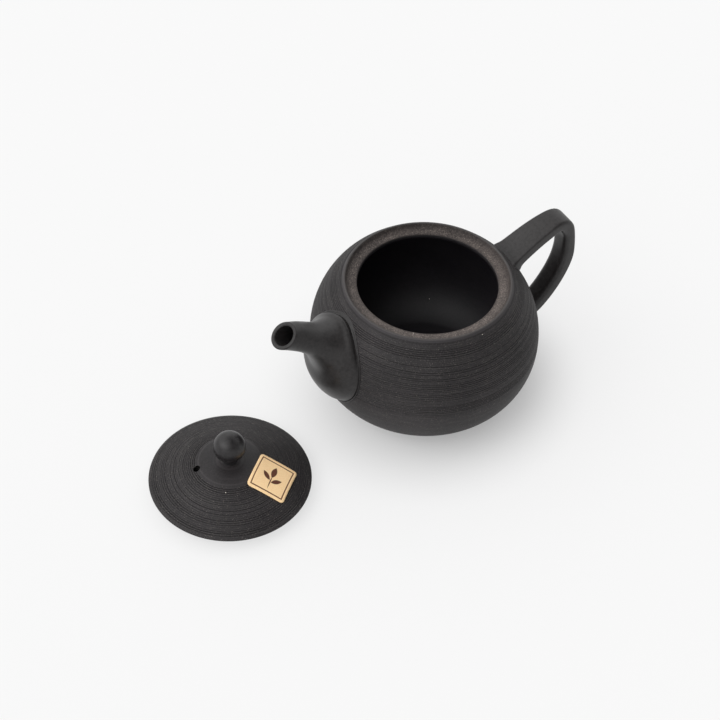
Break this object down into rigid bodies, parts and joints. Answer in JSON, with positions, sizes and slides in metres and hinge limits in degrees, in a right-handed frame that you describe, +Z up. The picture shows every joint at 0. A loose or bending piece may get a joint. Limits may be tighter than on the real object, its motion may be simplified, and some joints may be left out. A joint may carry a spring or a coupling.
{
  "type": "teapot",
  "caption": "Round teapot of dark unglazed clay with an ear handle opposite its short spout, a pierced strainer, and its knobbed lid lying beside it.",
  "frame": {"origin": "centre of the pot's flat foot, on the surface that it stands on", "axes": "+Z up, +X from the pot's axis towards the handle, so the spout points along -X"},
  "size_m": [0.224, 0.105, 0.0716],
  "materials": {
    "clay": "matte, combed",
    "paper": "matte"
  },
  "bodies": {
    "pot": {"pot_body": "clay", "spout": "clay", "strainer": "clay", "handle": "clay"},
    "lid": {"lid": "clay", "lid_knob": "clay", "label": "paper"}
  },
  "joints": [
    {"name": "lid_lift", "type": "slide", "parent": "pot", "child": "lid", "axis": [-0.1961, 0, 0.9806], "range_m": [0, 0.095]}
  ]
}
